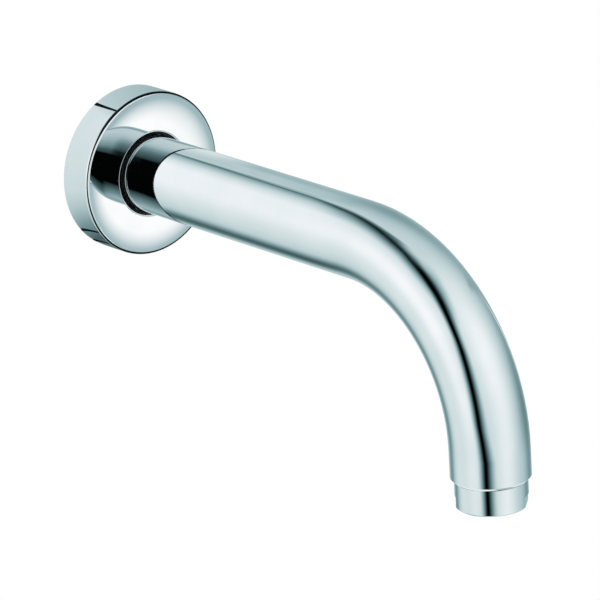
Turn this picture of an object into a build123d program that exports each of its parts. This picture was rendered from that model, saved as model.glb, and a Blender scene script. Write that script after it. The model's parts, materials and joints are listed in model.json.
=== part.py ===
# Wall spout: bent brass tube on a wall nipple, with a sliding round rosette and a screwed-in aerator.
# Millimetres. The wall is the plane Y = 0, the spout reaches out along -Y and pours along -Z.
# The origin is the centre of the wall connection.
import math
import os

from build123d import *

os.makedirs("parts", exist_ok=True)

# Spout tube
tube_diameter = 32.0
tube_wall = 3.5
tube_reach = 217.0  # wall to the centre of the outlet
bend_radius = 70.0
outlet_straight = 12.0  # straight end of the tube after the bend
tube_wall_gap = 3.0  # wall to the tube's inlet end
inlet_chamfer = 0.6
outlet_chamfer = 1.2

# Wall rosette
rosette_diameter = 68.5
rosette_depth = 16.0
rosette_skirt = 2.5  # thickness of the outer skirt
rosette_plate = 3.0  # thickness of the front plate
rosette_gap = 1.35  # clearance between the bore and the tube
bore_edge = 1.0  # rounded edge around the mouth of the bore
face_roll_share = 0.7  # part of the face, from the rim inwards, that curves back
face_roll_angle = 7.0  # slope of the face where it meets the rim
rim_radius = 1.4  # rounded edge between the face and the skirt
hub_wall = 3.4
hub_back = 9.0  # how far the hub stays in front of the wall

# Sealing ring in the rosette's bore
seal_lip = 1.8  # plate left in front of the groove
seal_width = 3.2
seal_seat = 1.3  # depth of the groove in the hub
seal_running_gap = 0.05
seal_nose = 0.7

# Wall nipple, pushed into the tube
thread_radius = 10.478  # G 1/2 parallel thread, outside
thread_length = 19.0
thread_chamfer = 1.2
spigot_length = 27.0
spigot_gap = 0.15
spigot_chamfer = 1.0
nipple_bore = 14.0
hex_key = 12.0
hex_depth = 8.0

# O-rings on the nipple
o_ring_cord = 2.0
o_ring_squeeze_gap = 0.02
o_ring_groove_width = 2.7
o_ring_offset = 17.0  # wall to the first groove's centre
o_ring_pitch = 6.5
o_ring_names = ("nipple_o_ring_rear", "nipple_o_ring_front")

# Fixing screw under the tube, and the groove that it holds in
screw_diameter = 5.0
screw_gap = 0.05
screw_offset = 8.5  # wall to the screw's axis
screw_sink = 0.5  # screw end below the tube's surface
screw_key = 2.5
screw_key_depth = 2.0
screw_point = 0.8
screw_groove_width = 5.4
screw_groove_depth = 1.5
screw_seat_gap = 0.05

# Aerator: housing ring with spanner flats, washer, plastic insert, jet disc and strainer
outlet_wall = 2.0  # tube wall left around the outlet's M28 x 1 thread
outlet_thread_depth = 11.5
housing_thread_gap = 0.15
ring_step = 0.5  # how far the ring stands out past the thread
ring_length = 11.0
ring_gap = 0.3  # tube end to the ring's shoulder
ring_edge = 0.5
flat_cut = 1.0  # depth of the spanner flats in the ring
flat_height = 4.6
flat_turn = -49.0  # the way the housing stands when screwed home, degrees about Z
housing_wall = 1.6
housing_lip = 1.2
housing_lip_height = 1.8
washer_thickness = 2.0
washer_band = 3.2
washer_gap = 0.2
insert_flange = 1.2
insert_wall = 1.1
insert_gap = 0.2
insert_foot_gap = 0.4
grid_thickness = 1.6
grid_cell = 2.3  # across the corners of a honeycomb cell
grid_web = 0.45
jet_disc_thickness = 2.0
jet_disc_drop = 4.0  # insert's top to the jet disc's top
jet_ledge = 0.9
jet_hole = 1.3
jet_count = 12
jet_inset = 3.45  # insert's wall to the circle of jets
strainer_height = 4.0
strainer_wall = 0.8
strainer_taper = 3.75  # how much narrower the strainer is at its top
strainer_gap = 0.2
strainer_hole = 1.5
strainer_pitch = 2.4  # between the rings of holes

# Places worked out from the sizes
tube_radius = tube_diameter / 2
tube_bore_radius = tube_radius - tube_wall
rosette_radius = rosette_diameter / 2
bore_radius = tube_radius + rosette_gap
outlet_z = -(bend_radius + outlet_straight)
spigot_radius = tube_bore_radius - spigot_gap
seal_radius = bore_radius + seal_seat
screw_axis_y = -screw_offset
ring_bottom = outlet_z - ring_length
thread_top = outlet_z + outlet_thread_depth
washer_bottom = thread_top - washer_thickness
housing_top = washer_bottom - insert_flange
outlet_thread_radius = tube_radius - outlet_wall
housing_thread_radius = outlet_thread_radius - housing_thread_gap
housing_bore_radius = housing_thread_radius - housing_wall
ring_radius = outlet_thread_radius + ring_step
insert_radius = housing_bore_radius - insert_gap
insert_inner_radius = insert_radius - insert_wall
insert_foot = ring_bottom + housing_lip_height + insert_foot_gap
jet_top = washer_bottom - jet_disc_drop
jet_bottom = jet_top - jet_disc_thickness

# Sections of the turned pieces, as radius and place along the axis
wall_section = Plane.XY
outlet_section = Plane(origin=(0, -tube_reach, 0), x_dir=(1, 0, 0), z_dir=(0, -1, 0))
outlet_axis = Axis((0, -tube_reach, 0), (0, 0, 1))


# Spout tube: one bent thick-walled tube, threaded inside at the outlet
with BuildPart() as spout_tube:
    with BuildLine() as tube_path:
        FilletPolyline(
            (0, -tube_wall_gap, 0),
            (0, -tube_reach, 0),
            (0, -tube_reach, outlet_z),
            radius=bend_radius,
        )
    with BuildSketch(Plane(origin=(0, -tube_wall_gap, 0), z_dir=(0, -1, 0))):
        Circle(tube_radius)
        Circle(tube_bore_radius, mode=Mode.SUBTRACT)
    sweep()
    with BuildSketch(Plane(origin=(0, -tube_reach, outlet_z))):
        Circle(outlet_thread_radius)
    extrude(amount=outlet_thread_depth, mode=Mode.SUBTRACT)
    with BuildSketch(Plane(origin=(0, screw_axis_y, -tube_radius - screw_sink))):
        Circle(screw_diameter / 2)
    extrude(amount=tube_wall + 2 * screw_sink, mode=Mode.SUBTRACT)
    inlet_edges = spout_tube.edges().filter_by(GeomType.CIRCLE).group_by(Axis.Y)[-1]
    chamfer(inlet_edges.sort_by(SortBy.RADIUS)[-1], inlet_chamfer)
    outlet_edges = spout_tube.edges().filter_by(GeomType.CIRCLE).group_by(Axis.Z)[0]
    chamfer(outlet_edges.sort_by(SortBy.RADIUS)[-1], outlet_chamfer)
spout_tube.part.label = "spout_tube"


# Wall rosette: turned cup with a flat face that rolls off to the rim, and a hub around the tube
face_y = -rosette_depth
plate_back = face_y + rosette_plate
groove_front = face_y + seal_lip
groove_back = groove_front + seal_width
roll_end = rosette_radius - rim_radius
face_roll_width = face_roll_share * (roll_end - bore_radius)
roll_start = roll_end - face_roll_width
rim_front = face_y + face_roll_width * math.tan(math.radians(face_roll_angle)) / 3
hub_radius = seal_radius + hub_wall

with BuildPart() as wall_rosette:
    with BuildSketch(wall_section):
        with BuildLine():
            Line((bore_radius, face_y), (roll_start, face_y))
            Bezier(
                (roll_start, face_y),
                (roll_start + face_roll_width / 3, face_y),
                (roll_end - face_roll_width / 3, face_y),
                (roll_end, rim_front),
            )
            RadiusArc(
                (roll_end, rim_front),
                (rosette_radius, rim_front + rim_radius),
                -rim_radius,
            )
            Line((rosette_radius, rim_front + rim_radius), (rosette_radius, 0))
            Line((rosette_radius, 0), (rosette_radius - rosette_skirt, 0))
            Line((rosette_radius - rosette_skirt, 0), (rosette_radius - rosette_skirt, plate_back))
            Line((rosette_radius - rosette_skirt, plate_back), (hub_radius, plate_back))
            Line((hub_radius, plate_back), (hub_radius, -hub_back))
            Line((hub_radius, -hub_back), (bore_radius, -hub_back))
            Line((bore_radius, -hub_back), (bore_radius, groove_back))
            Line((bore_radius, groove_back), (seal_radius, groove_back))
            Line((seal_radius, groove_back), (seal_radius, groove_front))
            Line((seal_radius, groove_front), (bore_radius, groove_front))
            Line((bore_radius, groove_front), (bore_radius, face_y))
        make_face()
    revolve(axis=Axis.Y)
    front_edges = wall_rosette.edges().filter_by(GeomType.CIRCLE)
    fillet(front_edges.group_by(Axis.Y)[0].sort_by(SortBy.RADIUS)[0], bore_edge)
wall_rosette.part.label = "wall_rosette"


# Sealing ring: sits in the rosette's groove and runs on the tube
seal_inner = tube_radius + seal_running_gap
with BuildPart() as rosette_seal:
    with BuildSketch(wall_section):
        with BuildLine():
            Polyline(
                (seal_radius, groove_front),
                (seal_inner + seal_nose, groove_front),
                (seal_inner, groove_front + seal_nose),
                (seal_inner, groove_back - seal_nose),
                (seal_inner + seal_nose, groove_back),
                (seal_radius, groove_back),
                close=True,
            )
        make_face()
    revolve(axis=Axis.Y)
rosette_seal.part.label = "rosette_seal"


# Wall nipple: thread into the wall, spigot into the tube, grooves for the screw and the O-rings
spigot_end = -tube_wall_gap - spigot_length
o_ring_places = [-o_ring_offset - index * o_ring_pitch for index in range(len(o_ring_names))]
o_ring_floor = tube_bore_radius - o_ring_cord - o_ring_squeeze_gap

with BuildPart() as wall_nipple:
    with BuildSketch(wall_section):
        with Locations((0, thread_length - tube_wall_gap)):
            Rectangle(thread_radius, thread_length, align=(Align.MIN, Align.MAX))
        with Locations((0, -tube_wall_gap)):
            Rectangle(spigot_radius, spigot_length, align=(Align.MIN, Align.MAX))
        for groove_y in o_ring_places:
            with Locations((o_ring_floor, groove_y)):
                Rectangle(
                    o_ring_cord,
                    o_ring_groove_width,
                    align=(Align.MIN, Align.CENTER),
                    mode=Mode.SUBTRACT,
                )
        with Locations((spigot_radius - screw_groove_depth, screw_axis_y)):
            Rectangle(
                2 * screw_groove_depth,
                screw_groove_width,
                align=(Align.MIN, Align.CENTER),
                mode=Mode.SUBTRACT,
            )
    revolve(axis=Axis.Y)
    end_edges = wall_nipple.edges().filter_by(GeomType.CIRCLE)
    chamfer(end_edges.group_by(Axis.Y)[-1], thread_chamfer)
    chamfer(end_edges.group_by(Axis.Y)[0], spigot_chamfer)
    with BuildSketch(Plane(origin=(0, spigot_end, 0), z_dir=(0, 1, 0))):
        Circle(nipple_bore / 2)
    extrude(amount=spigot_length + thread_length - hex_depth, mode=Mode.SUBTRACT)
    with BuildSketch(Plane(origin=(0, thread_length - tube_wall_gap, 0), z_dir=(0, -1, 0))):
        RegularPolygon(radius=hex_key / 2, side_count=6, major_radius=False)
    extrude(amount=hex_depth, mode=Mode.SUBTRACT)
wall_nipple.part.label = "wall_nipple"


# O-rings between the nipple and the tube
o_rings = []
for o_ring_name, ring_y in zip(o_ring_names, o_ring_places):
    with BuildPart() as o_ring:
        with BuildSketch(wall_section):
            with Locations((o_ring_floor + o_ring_cord / 2, ring_y)):
                Circle(o_ring_cord / 2)
        revolve(axis=Axis.Y)
    o_ring.part.label = o_ring_name
    o_rings.append(o_ring)


# Fixing screw: grub screw with a hexagon socket, its point in the nipple's groove
screw_outer_z = -(tube_radius - screw_sink)
screw_inner_z = -(spigot_radius - screw_groove_depth + screw_seat_gap)
screw_length = screw_inner_z - screw_outer_z

with BuildPart() as fixing_screw:
    with BuildSketch(Plane(origin=(0, screw_axis_y, screw_outer_z))):
        Circle(screw_diameter / 2 - screw_gap)
    extrude(amount=screw_length)
    chamfer(fixing_screw.edges().filter_by(GeomType.CIRCLE).sort_by(Axis.Z)[-1], screw_point)
    with BuildSketch(Plane(origin=(0, screw_axis_y, screw_outer_z))):
        RegularPolygon(radius=screw_key / 2, side_count=6, major_radius=False)
    extrude(amount=screw_key_depth, mode=Mode.SUBTRACT)
fixing_screw.part.label = "fixing_screw"


# Aerator housing: thread neck in the tube, visible ring below it with two spanner flats
with BuildPart() as aerator_housing:
    with BuildSketch(outlet_section):
        with BuildLine():
            Polyline(
                (housing_bore_radius, housing_top),
                (housing_thread_radius, housing_top),
                (housing_thread_radius, outlet_z - ring_gap),
                (ring_radius, outlet_z - ring_gap),
                (ring_radius, ring_bottom),
                (housing_bore_radius - housing_lip, ring_bottom),
                (housing_bore_radius - housing_lip, ring_bottom + housing_lip_height),
                (housing_bore_radius, ring_bottom + housing_lip_height),
                close=True,
            )
        make_face()
    revolve(axis=outlet_axis)
    foot_edges = aerator_housing.edges().filter_by(GeomType.CIRCLE).group_by(Axis.Z)[0]
    chamfer(foot_edges, ring_edge)
    flat_plane = Plane(
        origin=(0, -tube_reach, ring_bottom),
        x_dir=(math.cos(math.radians(flat_turn)), math.sin(math.radians(flat_turn)), 0),
        z_dir=(0, 0, 1),
    )
    with BuildSketch(flat_plane):
        with Locations((ring_radius - flat_cut, 0)):
            Rectangle(ring_radius, 2 * ring_radius, align=(Align.MIN, Align.CENTER))
        with Locations((flat_cut - ring_radius, 0)):
            Rectangle(ring_radius, 2 * ring_radius, align=(Align.MAX, Align.CENTER))
    extrude(amount=flat_height, mode=Mode.SUBTRACT)
aerator_housing.part.label = "aerator_housing"


# Aerator washer: pressed between the insert's flange and the shoulder in the tube
with BuildPart() as aerator_washer:
    with BuildSketch(Plane(origin=(0, -tube_reach, washer_bottom))):
        Circle(outlet_thread_radius - washer_gap)
        Circle(outlet_thread_radius - washer_band, mode=Mode.SUBTRACT)
    extrude(amount=washer_thickness)
aerator_washer.part.label = "aerator_washer"


# Aerator insert: plastic cup on the housing's rim, with a honeycomb grid at its foot
grid_pitch = grid_cell * math.cos(math.radians(30)) + grid_web
grid_rows = int(insert_inner_radius / grid_pitch) + 1
grid_reach = insert_inner_radius - grid_cell / 2
grid_cells = []
for row in range(-grid_rows, grid_rows + 1):
    for column in range(-grid_rows, grid_rows + 1):
        cell_x = (column + (row % 2) / 2) * grid_pitch
        cell_y = row * grid_pitch * math.sin(math.radians(60))
        if math.hypot(cell_x, cell_y) < grid_reach:
            grid_cells.append((cell_x, cell_y))

with BuildPart() as aerator_insert:
    with BuildSketch(outlet_section):
        with BuildLine():
            Polyline(
                (insert_inner_radius, washer_bottom),
                (housing_thread_radius - washer_gap, washer_bottom),
                (housing_thread_radius - washer_gap, housing_top),
                (insert_radius, housing_top),
                (insert_radius, insert_foot),
                (0, insert_foot),
                (0, insert_foot + grid_thickness),
                (insert_inner_radius - jet_ledge, insert_foot + grid_thickness),
                (insert_inner_radius - jet_ledge, jet_bottom),
                (insert_inner_radius, jet_bottom),
                close=True,
            )
        make_face()
    revolve(axis=outlet_axis)
    with BuildSketch(Plane(origin=(0, -tube_reach, insert_foot))):
        with Locations(*grid_cells):
            RegularPolygon(radius=grid_cell / 2, side_count=6, rotation=30)
    extrude(amount=grid_thickness, mode=Mode.SUBTRACT)
aerator_insert.part.label = "aerator_insert"


# Jet disc: splits the water into jets, lies on the insert's ledge
with BuildPart() as aerator_jet_disc:
    with BuildSketch(Plane(origin=(0, -tube_reach, jet_bottom))):
        Circle(insert_inner_radius - insert_gap)
        with PolarLocations(insert_inner_radius - jet_inset, jet_count):
            Circle(jet_hole / 2, mode=Mode.SUBTRACT)
    extrude(amount=jet_disc_thickness)
aerator_jet_disc.part.label = "aerator_jet_disc"


# Strainer: conical cap on the jet disc, with holes that keep grit out
strainer_foot_radius = insert_inner_radius - strainer_gap
strainer_top_radius = strainer_foot_radius - strainer_taper
strainer_rings = int((strainer_top_radius - strainer_hole) / strainer_pitch) + 1
strainer_bottom = jet_top
strainer_peak = strainer_bottom + jet_disc_drop + strainer_height
with BuildPart() as aerator_strainer:
    with BuildSketch(outlet_section):
        with BuildLine():
            Polyline(
                (strainer_foot_radius - strainer_wall, strainer_bottom),
                (strainer_foot_radius, strainer_bottom),
                (strainer_foot_radius, washer_bottom),
                (strainer_top_radius, strainer_peak),
                (0, strainer_peak),
                (0, strainer_peak - strainer_wall),
                (strainer_top_radius - strainer_wall, strainer_peak - strainer_wall),
                (strainer_foot_radius - strainer_wall, washer_bottom - strainer_wall),
                close=True,
            )
        make_face()
    revolve(axis=outlet_axis)
    with BuildSketch(Plane(origin=(0, -tube_reach, strainer_peak - strainer_wall))):
        for ring in range(strainer_rings):
            with PolarLocations(ring * strainer_pitch, max(1, 6 * ring)):
                Circle(strainer_hole / 2)
    extrude(amount=strainer_wall, mode=Mode.SUBTRACT)
aerator_strainer.part.label = "aerator_strainer"


pieces = [
    spout_tube,
    wall_rosette,
    rosette_seal,
    wall_nipple,
    *o_rings,
    fixing_screw,
    aerator_housing,
    aerator_washer,
    aerator_insert,
    aerator_jet_disc,
    aerator_strainer,
]
for piece in pieces:
    export_step(piece.part, f"parts/{piece.part.label}.step")
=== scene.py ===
import json
import math

import bpy
from mathutils import Matrix, Vector


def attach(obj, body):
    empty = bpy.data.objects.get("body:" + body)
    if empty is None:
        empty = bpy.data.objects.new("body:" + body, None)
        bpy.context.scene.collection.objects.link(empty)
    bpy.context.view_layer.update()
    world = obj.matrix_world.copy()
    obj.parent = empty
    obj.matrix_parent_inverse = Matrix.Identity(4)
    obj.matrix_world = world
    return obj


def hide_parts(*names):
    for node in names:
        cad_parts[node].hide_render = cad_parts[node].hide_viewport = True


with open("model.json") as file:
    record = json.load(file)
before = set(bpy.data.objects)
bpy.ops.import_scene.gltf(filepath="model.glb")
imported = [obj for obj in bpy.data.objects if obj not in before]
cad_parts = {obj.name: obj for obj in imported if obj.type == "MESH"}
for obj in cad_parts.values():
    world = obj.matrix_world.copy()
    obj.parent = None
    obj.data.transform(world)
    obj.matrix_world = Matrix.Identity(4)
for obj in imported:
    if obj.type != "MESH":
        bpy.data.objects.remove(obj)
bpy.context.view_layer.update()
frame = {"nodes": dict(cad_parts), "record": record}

# Polished wall spout: finishes, studio and camera around the solids. Metres, +Z up, the wall is Y = 0.
scene = bpy.context.scene
scene.view_settings.view_transform = "Standard"
nodes = frame["nodes"]
mm = 0.001
wavePeriod = math.pi / 10  # period of a wave texture at scale 1
noiseSpread = (0.3, 0.7)  # nearly all of a noise texture lies between these
fullTurn = 360.0
circleSteps = 96
mergeDistance = 1e-6


def linearColour(hexColour):
    channels = [int(hexColour[place:place + 2], 16) / 255 for place in (1, 3, 5)]
    linear = [c / 12.92 if c <= 0.04045 else ((c + 0.055) / 1.055) ** 2.4 for c in channels]
    return (*linear, 1.0)


# Settings may be sockets, or nodes whose first output is meant: these are linked
def addNode(tree, kind, settings=None):
    node = tree.nodes.new(kind)
    for name, value in (settings or {}).items():
        if isinstance(value, bpy.types.Node):
            value = value.outputs[0]
        if isinstance(value, bpy.types.NodeSocket):
            tree.links.new(value, node.inputs[name])
        elif isinstance(name, str) and hasattr(node, name):
            setattr(node, name, value)
        else:
            node.inputs[name].default_value = value
    return node


def newMaterial(name):
    material = bpy.data.materials.new(name)
    material.use_nodes = True
    tree = material.node_tree
    tree.nodes.clear()
    return material, tree


def setStops(ramp, tones):
    stops = ramp.color_ramp.elements
    while len(stops) > 1:
        stops.remove(stops[-1])
    for index, (position, colour) in enumerate(tones.items()):
        stop = stops[0] if index == 0 else stops.new(position)
        stop.position = position
        stop.color = linearColour(colour)


def noiseBetween(tree, sizeMm, low, high, detail=3.0):
    place = addNode(tree, "ShaderNodeTexCoord").outputs["Object"]
    grain = {"Scale": 1.0 / (sizeMm * mm), "Detail": detail, "Vector": place}
    noise = addNode(tree, "ShaderNodeTexNoise", grain)
    spread = {"From Min": noiseSpread[0], "From Max": noiseSpread[1], "To Min": low, "To Max": high}
    return addNode(tree, "ShaderNodeMapRange", {**spread, "Value": noise})


def cloudedColour(tree, sizeMm, first, second):
    cloud = noiseBetween(tree, sizeMm, 0.0, 1.0)
    colours = {6: linearColour(first), 7: linearColour(second)}
    return addNode(tree, "ShaderNodeMix", {"data_type": "RGBA", **colours, 0: cloud}).outputs[2]


# Chrome plating on polished brass: a cool mirror, with a breath of haze left by the mop
chrome = {
    "bright": "#f5f6f7",
    "dull": "#eef1f2",
    "cloudMm": 18.0,
    "hazeMm": 6.0,
    "roughness": (0.012, 0.03),
    "waveMm": 9.0,
    "waveHeightMm": 0.0004,
}


# The bend eases in over a short length each side of its start, in millimetres, as a tube does on the bender.
# The mirror shows it, though the outline hardly does: the tube's normal is worked out from its centre line
easedBend = {"start": -147.0, "radius": 70.0, "half": 20.0, "tubeRadius": 16.0, "slack": 0.12}


def easedNormal(tree, place):
    radius, half = easedBend["radius"], easedBend["half"]
    spot = addNode(tree, "ShaderNodeSeparateXYZ", {0: place}).outputs
    # From the bend's centre: how far forward and how far up
    run = addNode(tree, "ShaderNodeMath", {"operation": "SUBTRACT", 0: easedBend["start"] * mm, 1: spot["Y"]})
    rise = addNode(tree, "ShaderNodeMath", {"operation": "ADD", 0: spot["Z"], 1: radius * mm})
    ahead = addNode(tree, "ShaderNodeMath", {"operation": "MAXIMUM", 0: run, 1: 0.0})
    above = addNode(tree, "ShaderNodeMath", {"operation": "MAXIMUM", 0: rise, 1: 0.0})
    arm = addNode(tree, "ShaderNodeCombineXYZ", {0: ahead, 1: above})
    span = addNode(tree, "ShaderNodeVectorMath", {"operation": "LENGTH", 0: arm}).outputs["Value"]
    out = addNode(tree, "ShaderNodeMath", {"operation": "SUBTRACT", 0: span, 1: radius * mm})
    bent = addNode(tree, "ShaderNodeMath", {"operation": "ARCTAN2", 0: ahead, 1: above})
    # The easing adds most at the bend's start and nothing at the ends of its length
    slope = addNode(tree, "ShaderNodeMath", {"operation": "DIVIDE", 0: run, 1: rise})
    size = addNode(tree, "ShaderNodeMath", {"operation": "ABSOLUTE", 0: slope})
    fade = {"From Min": 0.0, "From Max": half / radius, "To Min": 1.0, "To Max": 0.0}
    near = addNode(tree, "ShaderNodeMapRange", {**fade, "Value": size})
    square = addNode(tree, "ShaderNodeMath", {"operation": "MULTIPLY", 0: near, 1: near})
    upper = addNode(tree, "ShaderNodeMath", {"operation": "GREATER_THAN", 0: rise, 1: 0.0})
    most = addNode(tree, "ShaderNodeMath", {"operation": "MULTIPLY", 0: upper, 1: half / (4 * radius)})
    angle = addNode(tree, "ShaderNodeMath", {"operation": "MULTIPLY_ADD", 0: square, 1: most, 2: bent})
    # The normal in the tube's section, turned along the bend
    across = addNode(tree, "ShaderNodeCombineXYZ", {"X": spot["X"], "Z": out})
    turn = {"rotation_type": "X_AXIS", "Vector": across, "Angle": angle}
    turned = addNode(tree, "ShaderNodeVectorRotate", turn)
    exact = addNode(tree, "ShaderNodeVectorMath", {"operation": "NORMALIZE", 0: turned})
    away = addNode(tree, "ShaderNodeVectorMath", {"operation": "LENGTH", 0: across}).outputs["Value"]
    skin = {1: easedBend["tubeRadius"] * mm, 2: easedBend["slack"] * mm}
    onTube = addNode(tree, "ShaderNodeMath", {"operation": "COMPARE", 0: away, **skin})
    smooth = addNode(tree, "ShaderNodeNewGeometry").outputs["Normal"]
    return addNode(tree, "ShaderNodeMix", {"data_type": "VECTOR", 0: onTube, 4: smooth, 5: exact}).outputs[1]


def chromeMaterial():
    material, tree = newMaterial("chromePlatedBrassPolished")
    place = addNode(tree, "ShaderNodeTexCoord").outputs["Object"]
    colour = cloudedColour(tree, chrome["cloudMm"], chrome["bright"], chrome["dull"])
    haze = noiseBetween(tree, chrome["hazeMm"], *chrome["roughness"])
    wave = noiseBetween(tree, chrome["waveMm"], 0.0, 1.0, detail=1.0)
    relief = {"Strength": 1.0, "Distance": chrome["waveHeightMm"] * mm, "Height": wave}
    bump = addNode(tree, "ShaderNodeBump", {**relief, "Normal": easedNormal(tree, place)})
    look = {"Metallic": 1.0, "Base Color": colour, "Roughness": haze, "Normal": bump}
    shader = addNode(tree, "ShaderNodeBsdfPrincipled", look)
    addNode(tree, "ShaderNodeOutputMaterial", {"Surface": shader})
    return material


# Wall nipple: brass bar turned on a lathe and left bare, so fine feed rings run round its axis
brass = {
    "bright": "#d9b96f",
    "dull": "#b8924c",
    "cloudMm": 7.0,
    "feedMm": 0.5,
    "feedHeightMm": 0.006,
    "feedWander": 0.6,
    "roughness": (0.2, 0.36),
    "hazeMm": 2.5,
}

# Grub screw: stainless steel with rolled flanks, greyer than the chrome and softly scratched round its axis
stainless = {
    "bright": "#c9cbca",
    "dull": "#a4a8a9",
    "cloudMm": 1.5,
    "feedMm": 0.5,
    "feedHeightMm": 0.01,
    "feedWander": 0.6,
    "roughness": (0.22, 0.4),
    "hazeMm": 0.8,
}


def turnedMetal(name, look, bandsAlong):
    material, tree = newMaterial(name)
    colour = cloudedColour(tree, look["cloudMm"], look["bright"], look["dull"])
    haze = noiseBetween(tree, look["hazeMm"], *look["roughness"])
    rings = {
        "wave_type": "BANDS",
        "bands_direction": bandsAlong,
        "Scale": wavePeriod / (look["feedMm"] * mm),
        "Distortion": look["feedWander"],
        "Detail": 1.0,
        "Vector": addNode(tree, "ShaderNodeTexCoord").outputs["Object"],
    }
    feed = addNode(tree, "ShaderNodeTexWave", rings).outputs["Fac"]
    relief = {"Strength": 1.0, "Distance": look["feedHeightMm"] * mm, "Height": feed}
    bump = addNode(tree, "ShaderNodeBump", relief)
    metal = {"Metallic": 1.0, "Base Color": colour, "Roughness": haze, "Normal": bump}
    shader = addNode(tree, "ShaderNodeBsdfPrincipled", metal)
    addNode(tree, "ShaderNodeOutputMaterial", {"Surface": shader})
    return material


# Seal, washer and O-rings: black nitrile rubber, moulded, matt with a faint grey bloom and a fine grain
rubber = {
    "bright": "#26282a",
    "dull": "#131415",
    "cloudMm": 4.0,
    "grainMm": 0.25,
    "grainHeightMm": 0.002,
    "roughness": (0.5, 0.66),
    "hazeMm": 1.5,
    "ior": 1.48,
}

# Aerator insert: grey acetal, moulded, a satin skin with faint flow clouds
greyAcetal = {
    "bright": "#9aa0a3",
    "dull": "#868c90",
    "cloudMm": 5.0,
    "grainMm": 0.3,
    "grainHeightMm": 0.004,
    "roughness": (0.3, 0.42),
    "hazeMm": 2.0,
    "ior": 1.48,
}

# Jet disc and strainer: the same acetal left its natural milky white
whiteAcetal = {
    "bright": "#efeee9",
    "dull": "#e0dfd8",
    "cloudMm": 5.0,
    "grainMm": 0.3,
    "grainHeightMm": 0.004,
    "roughness": (0.3, 0.42),
    "hazeMm": 2.0,
    "ior": 1.48,
}


def mouldedMaterial(name, look):
    material, tree = newMaterial(name)
    colour = cloudedColour(tree, look["cloudMm"], look["dull"], look["bright"])
    haze = noiseBetween(tree, look["hazeMm"], *look["roughness"])
    grain = noiseBetween(tree, look["grainMm"], 0.0, 1.0, detail=2.0)
    relief = {"Strength": 1.0, "Distance": look["grainHeightMm"] * mm, "Height": grain}
    bump = addNode(tree, "ShaderNodeBump", relief)
    skin = {"IOR": look["ior"], "Base Color": colour, "Roughness": haze, "Normal": bump}
    shader = addNode(tree, "ShaderNodeBsdfPrincipled", skin)
    addNode(tree, "ShaderNodeOutputMaterial", {"Surface": shader})
    return material


materials = {
    "chrome_plate": chromeMaterial(),
    "bare_brass": turnedMetal("brassTurnedBare", brass, "Y"),
    "stainless_steel": turnedMetal("stainlessSteelRolled", stainless, "Z"),
    "black_rubber": mouldedMaterial("nitrileRubberMouldedBlack", rubber),
    "grey_plastic": mouldedMaterial("acetalMouldedGrey", greyAcetal),
    "white_plastic": mouldedMaterial("acetalMouldedWhite", whiteAcetal),
}
for part in frame["record"]["subparts"]:
    node = nodes[part["node"]]
    node.data.materials.clear()
    node.data.materials.append(materials[part["material_slot"]])
print("materials on", len(nodes), "nodes")


# Wall nipple with its pipe thread cut and a relief turned behind it, in millimetres
nipple = {
    "crestRadius": 10.478,
    "pitch": 1.814,
    "depth": 1.162,
    "crestWidth": 1.51,
    "rootWidth": 0.30,
    "overshoot": 0.2,
    "firstTurn": 17.6,
    "turns": 10.5,
    "stepsPerTurn": 72,
    "reliefFrom": -3.05,
    "reliefTo": -0.5,
    "reliefDepth": 1.35,
    "smoothAngle": 32.0,
}


def applyModifier(piece, modifier):
    bpy.context.view_layer.objects.active = piece
    bpy.ops.object.modifier_apply(modifier=modifier.name)


# A flat profile (radius, height) in the XY plane, wound round the Y axis
def woundCutter(name, profile, pitch, turns, steps):
    bpy.ops.object.select_all(action="DESELECT")
    bpy.ops.mesh.primitive_plane_add(size=1.0)
    cutter = bpy.context.object
    cutter.name = name
    corners = [0, 1, 3, 2]
    for corner, (radius, height) in zip(corners, profile):
        cutter.data.vertices[corner].co = (radius * mm, height * mm, 0.0)
    screw = cutter.modifiers.new("wind", "SCREW")
    screw.axis = "Y"
    screw.angle = 2 * math.pi * turns
    screw.screw_offset = -pitch * turns * mm
    screw.steps = screw.render_steps = round(steps * turns)
    screw.use_merge_vertices = pitch == 0
    screw.merge_threshold = mergeDistance
    applyModifier(cutter, screw)
    bpy.ops.object.mode_set(mode="EDIT")
    bpy.ops.mesh.select_all(action="SELECT")
    bpy.ops.mesh.remove_doubles(threshold=mergeDistance)
    bpy.ops.mesh.fill_holes(sides=4)
    bpy.ops.mesh.select_all(action="SELECT")
    bpy.ops.mesh.normals_make_consistent(inside=False)
    bpy.ops.object.mode_set(mode="OBJECT")
    return cutter


def cutAway(piece, cutter):
    cut = piece.modifiers.new("cut", "BOOLEAN")
    cut.operation = "DIFFERENCE"
    cut.solver = "EXACT"
    cut.object = cutter
    applyModifier(piece, cut)
    bpy.data.objects.remove(cutter)


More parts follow.
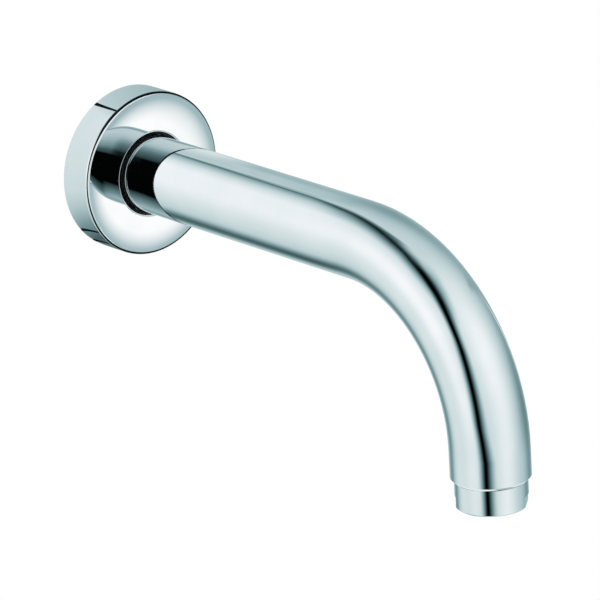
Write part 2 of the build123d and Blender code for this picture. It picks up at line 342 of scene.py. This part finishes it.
def threadedNipple():
    source = nodes["wall_nipple"]
    piece = source.copy()
    piece.data = source.data.copy()
    piece.name = "threadedNipple"
    for key in list(piece.keys()):
        del piece[key]
    piece.parent = None
    scene.collection.objects.link(piece)
    bpy.ops.object.select_all(action="DESELECT")
    piece.select_set(True)
    bpy.context.view_layer.objects.active = piece
    bpy.ops.mesh.customdata_custom_splitnormals_clear()
    bpy.ops.object.mode_set(mode="EDIT")
    bpy.ops.mesh.select_all(action="SELECT")
    bpy.ops.mesh.remove_doubles(threshold=mergeDistance)
    bpy.ops.object.mode_set(mode="OBJECT")
    crest, depth, over = nipple["crestRadius"], nipple["depth"], nipple["overshoot"]
    flank = (nipple["crestWidth"] - nipple["rootWidth"]) / 2 / depth
    root, top = nipple["rootWidth"] / 2, nipple["crestWidth"] / 2 + over * flank
    start = nipple["firstTurn"]
    groove = [
        (crest - depth, start - root),
        (crest + over, start - top),
        (crest + over, start + top),
        (crest - depth, start + root),
    ]
    steps = nipple["stepsPerTurn"]
    cutAway(piece, woundCutter("threadGroove", groove, nipple["pitch"], nipple["turns"], steps))
    floorRadius, low, high = crest - nipple["reliefDepth"], nipple["reliefFrom"], nipple["reliefTo"]
    relief = [(floorRadius, low), (crest + over, low), (crest + over, high), (floorRadius, high)]
    cutAway(piece, woundCutter("threadRelief", relief, 0.0, 1, steps))
    bpy.ops.object.select_all(action="DESELECT")
    piece.select_set(True)
    bpy.context.view_layer.objects.active = piece
    bpy.ops.object.shade_smooth_by_angle(angle=math.radians(nipple["smoothAngle"]))
    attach(piece, "spout")
    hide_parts("wall_nipple")
    return piece


piece = threadedNipple()
print("threaded nipple:", len(piece.data.polygons), "faces")


# Camera, matched to the outlines in the photograph
view = {
    "azimuth": -39.273,
    "elevation": 19.089,
    "roll": -3.281,
    "distance": 2.1460,
    "target": (0.0, -0.10622, -0.03436),
    "focalPixels": 5354.9,
    "imagePixels": 600,
    "sensorMm": 36.0,
}


def addCamera():
    azimuth, elevation, roll = (math.radians(view[name]) for name in ("azimuth", "elevation", "roll"))
    back = Vector((
        math.sin(azimuth) * math.cos(elevation),
        -math.cos(azimuth) * math.cos(elevation),
        math.sin(elevation),
    ))
    right = Vector((math.cos(azimuth), math.sin(azimuth), 0.0))
    up = back.cross(right)
    turnedRight = right * math.cos(roll) + up * math.sin(roll)
    turnedUp = up * math.cos(roll) - right * math.sin(roll)
    data = bpy.data.cameras.new("camera")
    data.sensor_width = view["sensorMm"]
    data.sensor_fit = "HORIZONTAL"
    data.lens = view["focalPixels"] / view["imagePixels"] * view["sensorMm"]
    camera = bpy.data.objects.new("camera", data)
    scene.collection.objects.link(camera)
    place = Vector(view["target"]) + back * view["distance"]
    turn = Matrix((turnedRight, turnedUp, back)).transposed()
    camera.matrix_world = Matrix.Translation(place) @ turn.to_4x4()
    scene.camera = camera


addCamera()
print("camera set")


# Studio: a soft tent, dark only where it is open. The metal sees it, and the camera sees plain white.
# Directions are in degrees: azimuth from the front (-Y) towards the right (+X), elevation up from level
studio = {
    "base": 0.61,
    "strength": 1.07,
    # azimuth, elevation, sharpness, level
    "panels": {
        "left": (-114, 1.3, 4.18, 0.51),
        "leftBack": (-172, 24.5, 16.8, 0.41),
        "right": (10.5, 34.7, 3.34, 0.31),
        "rightLow": (77.6, -41, 13.9, 0.76),
        "rightShade": (86.8, -25.3, 7.1, -0.59),
        "backShade": (130, 26.3, 8.64, -0.30),
        "backTop": (155.7, 18.4, 52.8, 0.54),
        "lowLeft": (-117.6, -9.8, 10.8, -0.28),
        "lowRight": (7.4, -25.3, 6.69, 0.18),
        "leftEdge": (180.6, -23.4, 21.6, -0.39),
    },
    # The opening in front of the left panel: azimuth and half width by elevation, its black core,
    # how much steeper its left side is, where it ends above, and the azimuth that angles are counted from
    "slit": {-40: -36.2, -20: -55.7, -8: -61.9, 25: -58.0, 50: -61.5, 66: -78.2},
    "slitWidth": {-40: 35.3, -8: 27.7, 25: 19.0, 60: 15.2},
    "slitCore": 1.8,
    "slitLeft": 1.3,
    "slitTop": 62,
    "slitMiddle": -57,
    # The gap under the top: elevation and half width by azimuth, its core (below 0, so never quite black),
    # the slope of its upper side, where it ends in front and fades overhead, and where angles count from
    "band": {-47: 38.0, -41: 43.3, -33: 48.3, -25: 53.8, -10: 61.4, 10: 65.8, 40: 68.2, 65: 62.4, 88: 55.6},
    "bandWidth": {-54: 0, -50: 1.2, -47: 3.6, -33: 10.7, -10: 25.9, 30: 24.7, 88: 27.4},
    "bandCore": -1.9,
    "bandAbove": 0.78,
    "bandFront": 86,
    "bandTop": (67, 88),
    "bandMiddle": -150,
    # Dark patch low at the back: azimuth, elevation, radius, tone left
    "lowPatch": (176.8, -47.5, 25.4, 0.11),
    # Painted shade between tube and rosette, where the metal sees itself first: rays that have met it twice
    # take these tones, by the angle up (or down, below 0) from the left, on the rosette's face and on the
    # tube's foot, dark in the middle
    "innerFace": {
        -145: 0.30, -113: 0.27, -100: 0.18, -85: 0.105, -70: 0.06, -58: 0.02, -54: 0.0,
        43: 0.0, 48: 0.06, 58: 0.11, 70: 0.26, 100: 0.5, 132: 0.64,
    },
    "innerFoot": {
        -115: 0.55, -93: 0.46, -75: 0.28, -54: 0.105, -46: 0.05, -41: 0.0,
        58: 0.0, 64: 0.05, 76: 0.11, 83: 0.15, 98: 0.32, 109: 0.5, 122: 0.62, 144: 0.68,
    },
    # The way back (+Y) that parts face and foot, and where the dark ends behind, with the tone there
    "innerParting": (-0.79, -0.75),
    "innerBack": (-0.5, -0.3, 0.9),
    # A ray that has met metal once counts two here, and one that has met it twice counts three
    "secondDepth": 2.5,
    "tones": {
        0.0: "#020303",
        0.10: "#445c5e",
        0.30: "#7c999c",
        0.50: "#a7bfc3",
        0.70: "#ccdbdc",
        0.90: "#f0f4f6",
        1.0: "#fdfefe",
    },
}


def direction(azimuth, elevation):
    a, e = math.radians(azimuth), math.radians(elevation)
    return Vector((math.sin(a) * math.cos(e), -math.cos(a) * math.cos(e), math.sin(e)))


# A broken line through the points, on inputs and results from -180 to 180
def brokenLine(tree, value, points):
    share = addNode(tree, "ShaderNodeMath", {"operation": "MULTIPLY_ADD", 0: value, 1: 1 / fullTurn, 2: 0.5})
    node = addNode(tree, "ShaderNodeFloatCurve", {"Value": share})
    line = node.mapping.curves[0].points
    spots = [(x / fullTurn + 0.5, y / fullTurn + 0.5) for x, y in sorted(points.items())]
    spots = [(0.0, spots[0][1]), *spots, (1.0, spots[-1][1])]
    while len(line) < len(spots):
        line.new(0.5, 0.5)
    for point, spot in zip(line, spots):
        point.location = spot
        point.handle_type = "VECTOR"
    node.mapping.update()
    back = {"operation": "MULTIPLY_ADD", 0: node, 1: fullTurn, 2: -fullTurn / 2}
    return addNode(tree, "ShaderNodeMath", back)


# Degrees round the vertical, counted from the middle azimuth
def azimuthFrom(tree, ray, middle):
    ahead = {"operation": "DOT_PRODUCT", 0: ray["way"], 1: direction(middle, 0)}
    aside = {"operation": "DOT_PRODUCT", 0: ray["way"], 1: direction(middle + 90, 0)}
    sides = [addNode(tree, "ShaderNodeVectorMath", side).outputs["Value"] for side in (aside, ahead)]
    angle = addNode(tree, "ShaderNodeMath", {"operation": "ARCTAN2", 0: sides[0], 1: sides[1]})
    return addNode(tree, "ShaderNodeMath", {"operation": "DEGREES", 0: angle})


# Dark at the core of a shape and light beyond its width: distances across it and past its end
def softEdge(tree, across, beyond, core, width):
    pair = addNode(tree, "ShaderNodeCombineXYZ", {0: across, 1: beyond})
    away = addNode(tree, "ShaderNodeVectorMath", {"operation": "LENGTH", 0: pair}).outputs["Value"]
    edges = {"interpolation_type": "SMOOTHSTEP", "From Min": core, "From Max": width, "Value": away}
    return addNode(tree, "ShaderNodeMapRange", edges)


def panelTone(tree, ray):
    tone = studio["base"]
    for azimuth, rise, sharpness, amount in studio["panels"].values():
        aim = {"operation": "DOT_PRODUCT", 0: ray["way"], 1: direction(azimuth, rise)}
        near = addNode(tree, "ShaderNodeVectorMath", aim).outputs["Value"]
        fall = {"operation": "MULTIPLY_ADD", 0: near, 1: sharpness, 2: -sharpness}
        power = addNode(tree, "ShaderNodeMath", fall)
        lobe = addNode(tree, "ShaderNodeMath", {"operation": "EXPONENT", 0: power})
        tone = addNode(tree, "ShaderNodeMath", {"operation": "MULTIPLY_ADD", 0: lobe, 1: amount, 2: tone})
    return tone


def slitTone(tree, ray):
    angle = azimuthFrom(tree, ray, studio["slitMiddle"])
    points = {rise: azimuth - studio["slitMiddle"] for rise, azimuth in studio["slit"].items()}
    middle = brokenLine(tree, ray["elevation"], points)
    aside = addNode(tree, "ShaderNodeMath", {"operation": "SUBTRACT", 0: angle, 1: middle})
    right = addNode(tree, "ShaderNodeMath", {"operation": "MULTIPLY", 0: aside, 1: ray["level"]})
    left = addNode(tree, "ShaderNodeMath", {"operation": "MULTIPLY", 0: right, 1: -studio["slitLeft"]})
    across = addNode(tree, "ShaderNodeMath", {"operation": "MAXIMUM", 0: right, 1: left})
    past = {"operation": "SUBTRACT", 0: ray["elevation"], 1: studio["slitTop"]}
    above = addNode(tree, "ShaderNodeMath", past)
    beyond = addNode(tree, "ShaderNodeMath", {"operation": "MAXIMUM", 0: above, 1: 0.0})
    width = brokenLine(tree, ray["elevation"], studio["slitWidth"])
    return softEdge(tree, across, beyond, studio["slitCore"], width)


def bandTone(tree, ray):
    angle = azimuthFrom(tree, ray, studio["bandMiddle"])
    middle = brokenLine(tree, angle, studio["band"])
    up = addNode(tree, "ShaderNodeMath", {"operation": "SUBTRACT", 0: ray["elevation"], 1: middle})
    above = addNode(tree, "ShaderNodeMath", {"operation": "MULTIPLY", 0: up, 1: studio["bandAbove"]})
    below = addNode(tree, "ShaderNodeMath", {"operation": "MULTIPLY", 0: up, 1: -1.0})
    across = addNode(tree, "ShaderNodeMath", {"operation": "MAXIMUM", 0: above, 1: below})
    past = addNode(tree, "ShaderNodeMath", {"operation": "SUBTRACT", 0: angle, 1: studio["bandFront"]})
    past = addNode(tree, "ShaderNodeMath", {"operation": "MAXIMUM", 0: past, 1: 0.0})
    beyond = addNode(tree, "ShaderNodeMath", {"operation": "MULTIPLY", 0: past, 1: ray["level"]})
    width = brokenLine(tree, angle, studio["bandWidth"])
    band = softEdge(tree, across, beyond, studio["bandCore"], width)
    low, high = studio["bandTop"]
    fade = {"interpolation_type": "SMOOTHSTEP", "From Min": low, "From Max": high, "Value": ray["elevation"]}
    overhead = addNode(tree, "ShaderNodeMapRange", fade)
    return addNode(tree, "ShaderNodeMath", {"operation": "MAXIMUM", 0: band, 1: overhead})


def patchTone(tree, ray):
    azimuth, rise, radius, left = studio["lowPatch"]
    aim = {"operation": "DOT_PRODUCT", 0: ray["way"], 1: direction(azimuth, rise)}
    near = addNode(tree, "ShaderNodeVectorMath", aim).outputs["Value"]
    near = addNode(tree, "ShaderNodeMath", {"operation": "MINIMUM", 0: near, 1: 1.0})
    angle = addNode(tree, "ShaderNodeMath", {"operation": "ARCCOSINE", 0: near})
    away = addNode(tree, "ShaderNodeMath", {"operation": "DEGREES", 0: angle})
    edges = {"interpolation_type": "SMOOTHSTEP", "From Max": radius, "To Min": left, "Value": away}
    return addNode(tree, "ShaderNodeMapRange", edges)


# Painted shade: the tones that rays which have met the metal twice see between tube and rosette, dark in the
# middle
def innerPaintedShade(tree, ray):
    toLeft = addNode(tree, "ShaderNodeMath", {"operation": "MULTIPLY", 0: ray["axes"]["X"], 1: -1.0})
    angle = addNode(tree, "ShaderNodeMath", {"operation": "ARCTAN2", 0: ray["axes"]["Z"], 1: toLeft})
    around = addNode(tree, "ShaderNodeMath", {"operation": "DEGREES", 0: angle})
    face = brokenLine(tree, around, studio["innerFace"])
    foot = brokenLine(tree, around, studio["innerFoot"])
    back = ray["axes"]["Y"]
    low, high = studio["innerParting"]
    parting = {"interpolation_type": "SMOOTHSTEP", "From Min": low, "From Max": high, "Value": back}
    onFoot = addNode(tree, "ShaderNodeMapRange", parting)
    near = addNode(tree, "ShaderNodeMix", {"data_type": "FLOAT", 0: onFoot, 2: face, 3: foot})
    low, high, tone = studio["innerBack"]
    ending = {"interpolation_type": "SMOOTHSTEP", "From Min": low, "From Max": high, "To Max": tone}
    behind = addNode(tree, "ShaderNodeMapRange", {**ending, "Value": back})
    return addNode(tree, "ShaderNodeMath", {"operation": "MAXIMUM", 0: near, 1: behind})


def buildStudio():
    world = bpy.data.worlds.new("studio")
    scene.world = world
    world.use_nodes = True
    tree = world.node_tree
    tree.nodes.clear()
    path = addNode(tree, "ShaderNodeLightPath").outputs
    way = addNode(tree, "ShaderNodeTexCoord").outputs["Generated"]
    axes = addNode(tree, "ShaderNodeSeparateXYZ", {0: way}).outputs
    angle = addNode(tree, "ShaderNodeMath", {"operation": "ARCSINE", 0: axes["Z"]})
    ray = {
        "way": way,
        "axes": axes,
        "elevation": addNode(tree, "ShaderNodeMath", {"operation": "DEGREES", 0: angle}),
        "level": addNode(tree, "ShaderNodeMath", {"operation": "COSINE", 0: angle}),
    }
    outer = panelTone(tree, ray)
    for shape in (slitTone, bandTone, patchTone):
        outer = addNode(tree, "ShaderNodeMath", {"operation": "MULTIPLY", 0: outer, 1: shape(tree, ray)})
    # Rays that have met metal twice see the painted shade between tube and rosette instead of the tent
    depth = {"operation": "GREATER_THAN", 0: path["Ray Depth"], 1: studio["secondDepth"]}
    second = addNode(tree, "ShaderNodeMath", depth)
    seen = {"data_type": "FLOAT", 0: second, 2: outer, 3: innerPaintedShade(tree, ray)}
    ramp = addNode(tree, "ShaderNodeValToRGB", {"Fac": addNode(tree, "ShaderNodeMix", seen)})
    setStops(ramp, studio["tones"])
    tent = addNode(tree, "ShaderNodeBackground", {"Strength": studio["strength"], "Color": ramp})
    white = addNode(tree, "ShaderNodeBackground", {"Color": linearColour("#ffffff"), "Strength": 1.0})
    mix = addNode(tree, "ShaderNodeMixShader", {0: path["Is Camera Ray"], 1: tent, 2: white})
    addNode(tree, "ShaderNodeOutputWorld", {"Surface": mix})


buildStudio()
print("studio built")


# Cards seen only by mirrors, in millimetres: white for the rosette's flat face, a pale wall behind its rim,
# and light for the tube's foot. Tones run outwards or, on a card with a hole, round it by degrees
cards = {
    "faceCard": {
        "middle": (111.0, -170.0, -61.7),
        "facing": (-0.598, 0.732, 0.327),
        "hole": 0.0,
        "radius": 150.0,
        "solidTo": 110.0,
        "tones": {27.0: "#ffffff", 66.0: "#a4bcc0", 95.0: "#8ba6aa"},
        "strength": 1.08,
        "cover": 1.0,
        "closest": 150.0,
        "reach": 260.0,
    },
    "rimCard": {
        "middle": (0.0, 2.0, 0.0),
        "facing": (0.0, -1.0, 0.0),
        "hole": 35.0,
        "radius": 51.0,
        "solidTo": 49.0,
        "tones": {
            60.0: "#a3babd",
            108.0: "#c4d7da",
            118.0: "#e0ebed",
            150.0: "#e0ebed",
            186.0: "#d4e3e4",
            202.0: "#b6ccce",
            218.0: "#7c9a9f",
            236.0: "#4a6063",
            262.0: "#7b908f",
        },
        "strength": 1.0,
        "cover": 1.0,
        "reach": 27.0,
    },
    "footCard": {
        "middle": (45.0, 3.0, 22.0),
        "facing": (0.0, -1.0, 0.0),
        "hole": 0.0,
        "radius": 40.0,
        "solidTo": 5.0,
        "tones": {0.0: "#eef4f4"},
        "strength": 1.0,
        "cover": 0.75,
        "reach": 130.0,
    },
}


def mirrorOnly(card):
    card.visible_camera = False
    card.visible_diffuse = False
    card.visible_shadow = False


reachFade = 1.2  # times the reach, where a card is gone
closestFade = 0.8  # times the closest distance, where a card begins to show


# Seen only by metal within reach; closest, where given, hides the card from metal nearer than that
def withinReach(tree, glow, share, reach, closest=None):
    run = addNode(tree, "ShaderNodeLightPath").outputs["Ray Length"]
    edges = {"From Min": reach * mm, "From Max": reachFade * reach * mm, "To Min": 1.0, "To Max": 0.0}
    near = addNode(tree, "ShaderNodeMapRange", {**edges, "Value": run})
    shown = addNode(tree, "ShaderNodeMath", {"operation": "MULTIPLY", 0: near, 1: share})
    if closest:
        edges = {"From Min": closestFade * closest * mm, "From Max": closest * mm}
        far = addNode(tree, "ShaderNodeMapRange", {**edges, "Value": run})
        shown = addNode(tree, "ShaderNodeMath", {"operation": "MULTIPLY", 0: shown, 1: far})
    clear = addNode(tree, "ShaderNodeBsdfTransparent")
    return addNode(tree, "ShaderNodeMixShader", {0: shown, 1: clear, 2: glow})


# Where along its tones a spot on the card is, from 0 to 1, and the length that 1 stands for
def alongCard(tree, look, place, away):
    if look["hole"]:
        # Degrees counted from the right (+X), up and round to the left
        half = {"vector_type": "TEXTURE", "Rotation": (0, 0, math.pi), 0: place}
        apart = addNode(tree, "ShaderNodeSeparateXYZ", {0: addNode(tree, "ShaderNodeMapping", half)}).outputs
        angle = addNode(tree, "ShaderNodeMath", {"operation": "ARCTAN2", 0: apart["Y"], 1: apart["X"]})
        spread = {"From Min": -math.pi, "From Max": math.pi, "Value": angle}
        return addNode(tree, "ShaderNodeMapRange", spread), fullTurn
    spread = {"From Min": 0.0, "From Max": look["radius"] * mm, "Value": away}
    return addNode(tree, "ShaderNodeMapRange", spread), look["radius"]


def cardMaterial(name, look):
    material, tree = newMaterial(name)
    place = addNode(tree, "ShaderNodeTexCoord").outputs["Object"]
    away = addNode(tree, "ShaderNodeVectorMath", {"operation": "LENGTH", 0: place}).outputs["Value"]
    fade = {
        "interpolation_type": "SMOOTHSTEP",
        "From Min": look["solidTo"] * mm,
        "From Max": look["radius"] * mm,
        "To Min": look["cover"],
        "To Max": 0.0,
        "Value": away,
    }
    cover = addNode(tree, "ShaderNodeMapRange", fade)
    # Clear from behind
    behind = addNode(tree, "ShaderNodeNewGeometry").outputs["Backfacing"]
    front = {"operation": "SUBTRACT", "use_clamp": True, 0: cover, 1: behind}
    share = addNode(tree, "ShaderNodeMath", front)
    position, whole = alongCard(tree, look, place, away)
    ramp = addNode(tree, "ShaderNodeValToRGB", {"Fac": position})
    setStops(ramp, {spot / whole: colour for spot, colour in look["tones"].items()})
    glow = addNode(tree, "ShaderNodeEmission", {"Strength": look["strength"], "Color": ramp})
    shown = withinReach(tree, glow, share, look["reach"], look.get("closest"))
    addNode(tree, "ShaderNodeOutputMaterial", {"Surface": shown})
    return material


def addCard(name, look):
    bpy.ops.object.select_all(action="DESELECT")
    bpy.ops.mesh.primitive_circle_add(vertices=circleSteps, radius=look["radius"] * mm, fill_type="NGON")
    card = bpy.context.object
    card.name = name
    if look["hole"]:
        bpy.ops.object.mode_set(mode="EDIT")
        bpy.ops.mesh.select_all(action="SELECT")
        bpy.ops.mesh.inset(thickness=(look["radius"] - look["hole"]) * mm)
        bpy.ops.mesh.delete(type="FACE")
        bpy.ops.object.mode_set(mode="OBJECT")
    turn = Vector(look["facing"]).to_track_quat("Z", "Y").to_matrix().to_4x4()
    card.matrix_world = Matrix.Translation(Vector(look["middle"]) * mm) @ turn
    card.data.materials.append(cardMaterial(name, look))
    mirrorOnly(card)


for name, look in cards.items():
    addCard(name, look)
print("cards placed:", len(cards))


# Black flags, in millimetres, that put a painted dark reflection along the rim's edge: a narrow hoop round
# its front, deeper above and below, and three strips just behind it, each from one end to the other
flags = {
    "tone": "#101819",
    "hoopRadius": 35.2,
    "hoopSteps": 128,
    "hoopBack": -15.0,
    "hoopFront": -16.2,
    "hoopDeeper": 1.8,
    "hoopHigher": 1.6,
    "hoopReach": 9.0,
    "stripReach": 27.0,
    "stripWidth": 1.6,
    "stripPlane": 1.5,
    "strips": {
        "stripTop": ((-15.2, 31.5), (-13.6, 44.0)),
        "stripLow": ((-26.9, -22.0), (-27.8, -33.0)),
        "stripLowest": ((-20.4, -27.5), (-16.6, -36.8)),
    },
}


def addFlags():
    cloths = []
    # Painted dark reflection: black cloths seen only by metal within reach
    for name, reach in (("hoopBlackCloth", flags["hoopReach"]), ("stripBlackCloth", flags["stripReach"])):
        cloth, tree = newMaterial(name)
        glow = addNode(tree, "ShaderNodeEmission", {"Color": linearColour(flags["tone"]), "Strength": 1.0})
        addNode(tree, "ShaderNodeOutputMaterial", {"Surface": withinReach(tree, glow, 1.0, reach)})
        cloths.append(cloth)
    bpy.ops.object.select_all(action="DESELECT")
    bpy.ops.mesh.primitive_cylinder_add(
        vertices=flags["hoopSteps"],
        radius=flags["hoopRadius"] * mm,
        depth=(flags["hoopBack"] - flags["hoopFront"]) * mm,
        end_fill_type="NOTHING",
        rotation=(math.pi / 2, 0, 0),
    )
    hoop = bpy.context.object
    hoop.name = "edgeHoop"
    bpy.ops.object.transform_apply(location=True, rotation=True, scale=True)
    for vertex in hoop.data.vertices:
        rise = vertex.co.z / (flags["hoopRadius"] * mm)
        front = flags["hoopFront"] - flags["hoopDeeper"] * rise ** 2
        back = flags["hoopBack"] + flags["hoopHigher"] * rise ** 2
        vertex.co.y = (front if vertex.co.y < 0 else back) * mm
    pieces = [hoop]
    for name, (start, end) in flags["strips"].items():
        first, last = (Vector((x, flags["stripPlane"], z)) * mm for x, z in (start, end))
        bpy.ops.object.select_all(action="DESELECT")
        bpy.ops.mesh.primitive_plane_add(size=1.0)
        strip = bpy.context.object
        strip.name = name
        along = (last - first).normalized()
        out = Vector((0, -1, 0))
        turn = Matrix((along.cross(out), along, out)).transposed().to_4x4()
        size = Matrix.Diagonal((flags["stripWidth"] * mm, (last - first).length, 1.0, 1.0))
        strip.matrix_world = Matrix.Translation((first + last) / 2) @ turn @ size
        pieces.append(strip)
    for piece in pieces:
        piece.data.materials.append(cloths[0] if piece is hoop else cloths[1])
        mirrorOnly(piece)


addFlags()
print("flags placed:", 1 + len(flags["strips"]))


# Pale floor: white to the camera; mirrors and a camera below look through it
floorPlace = {"radius": 4.0, "height": -0.45, "colour": "#e8eced"}


def addFloor():
    bpy.ops.object.select_all(action="DESELECT")
    bpy.ops.mesh.primitive_circle_add(
        vertices=circleSteps,
        radius=floorPlace["radius"],
        fill_type="NGON",
        location=(0, 0, floorPlace["height"]),
    )
    floor = bpy.context.object
    floor.name = "floor"
    material, tree = newMaterial("floorPaleMatt")
    path = addNode(tree, "ShaderNodeLightPath").outputs
    matt = addNode(tree, "ShaderNodeBsdfDiffuse", {"Color": linearColour(floorPlace["colour"])})
    white = addNode(tree, "ShaderNodeEmission", {"Color": linearColour("#ffffff"), "Strength": 1.0})
    clear = addNode(tree, "ShaderNodeBsdfTransparent")
    shown = addNode(tree, "ShaderNodeMixShader", {0: path["Is Camera Ray"], 1: matt, 2: white})
    below = addNode(tree, "ShaderNodeNewGeometry").outputs["Backfacing"]
    unseen = addNode(tree, "ShaderNodeMath", {"operation": "MAXIMUM", 0: path["Is Glossy Ray"], 1: below})
    mix = addNode(tree, "ShaderNodeMixShader", {0: unseen, 1: shown, 2: clear})
    addNode(tree, "ShaderNodeOutputMaterial", {"Surface": mix})
    floor.data.materials.append(material)


addFloor()
print("floor laid")
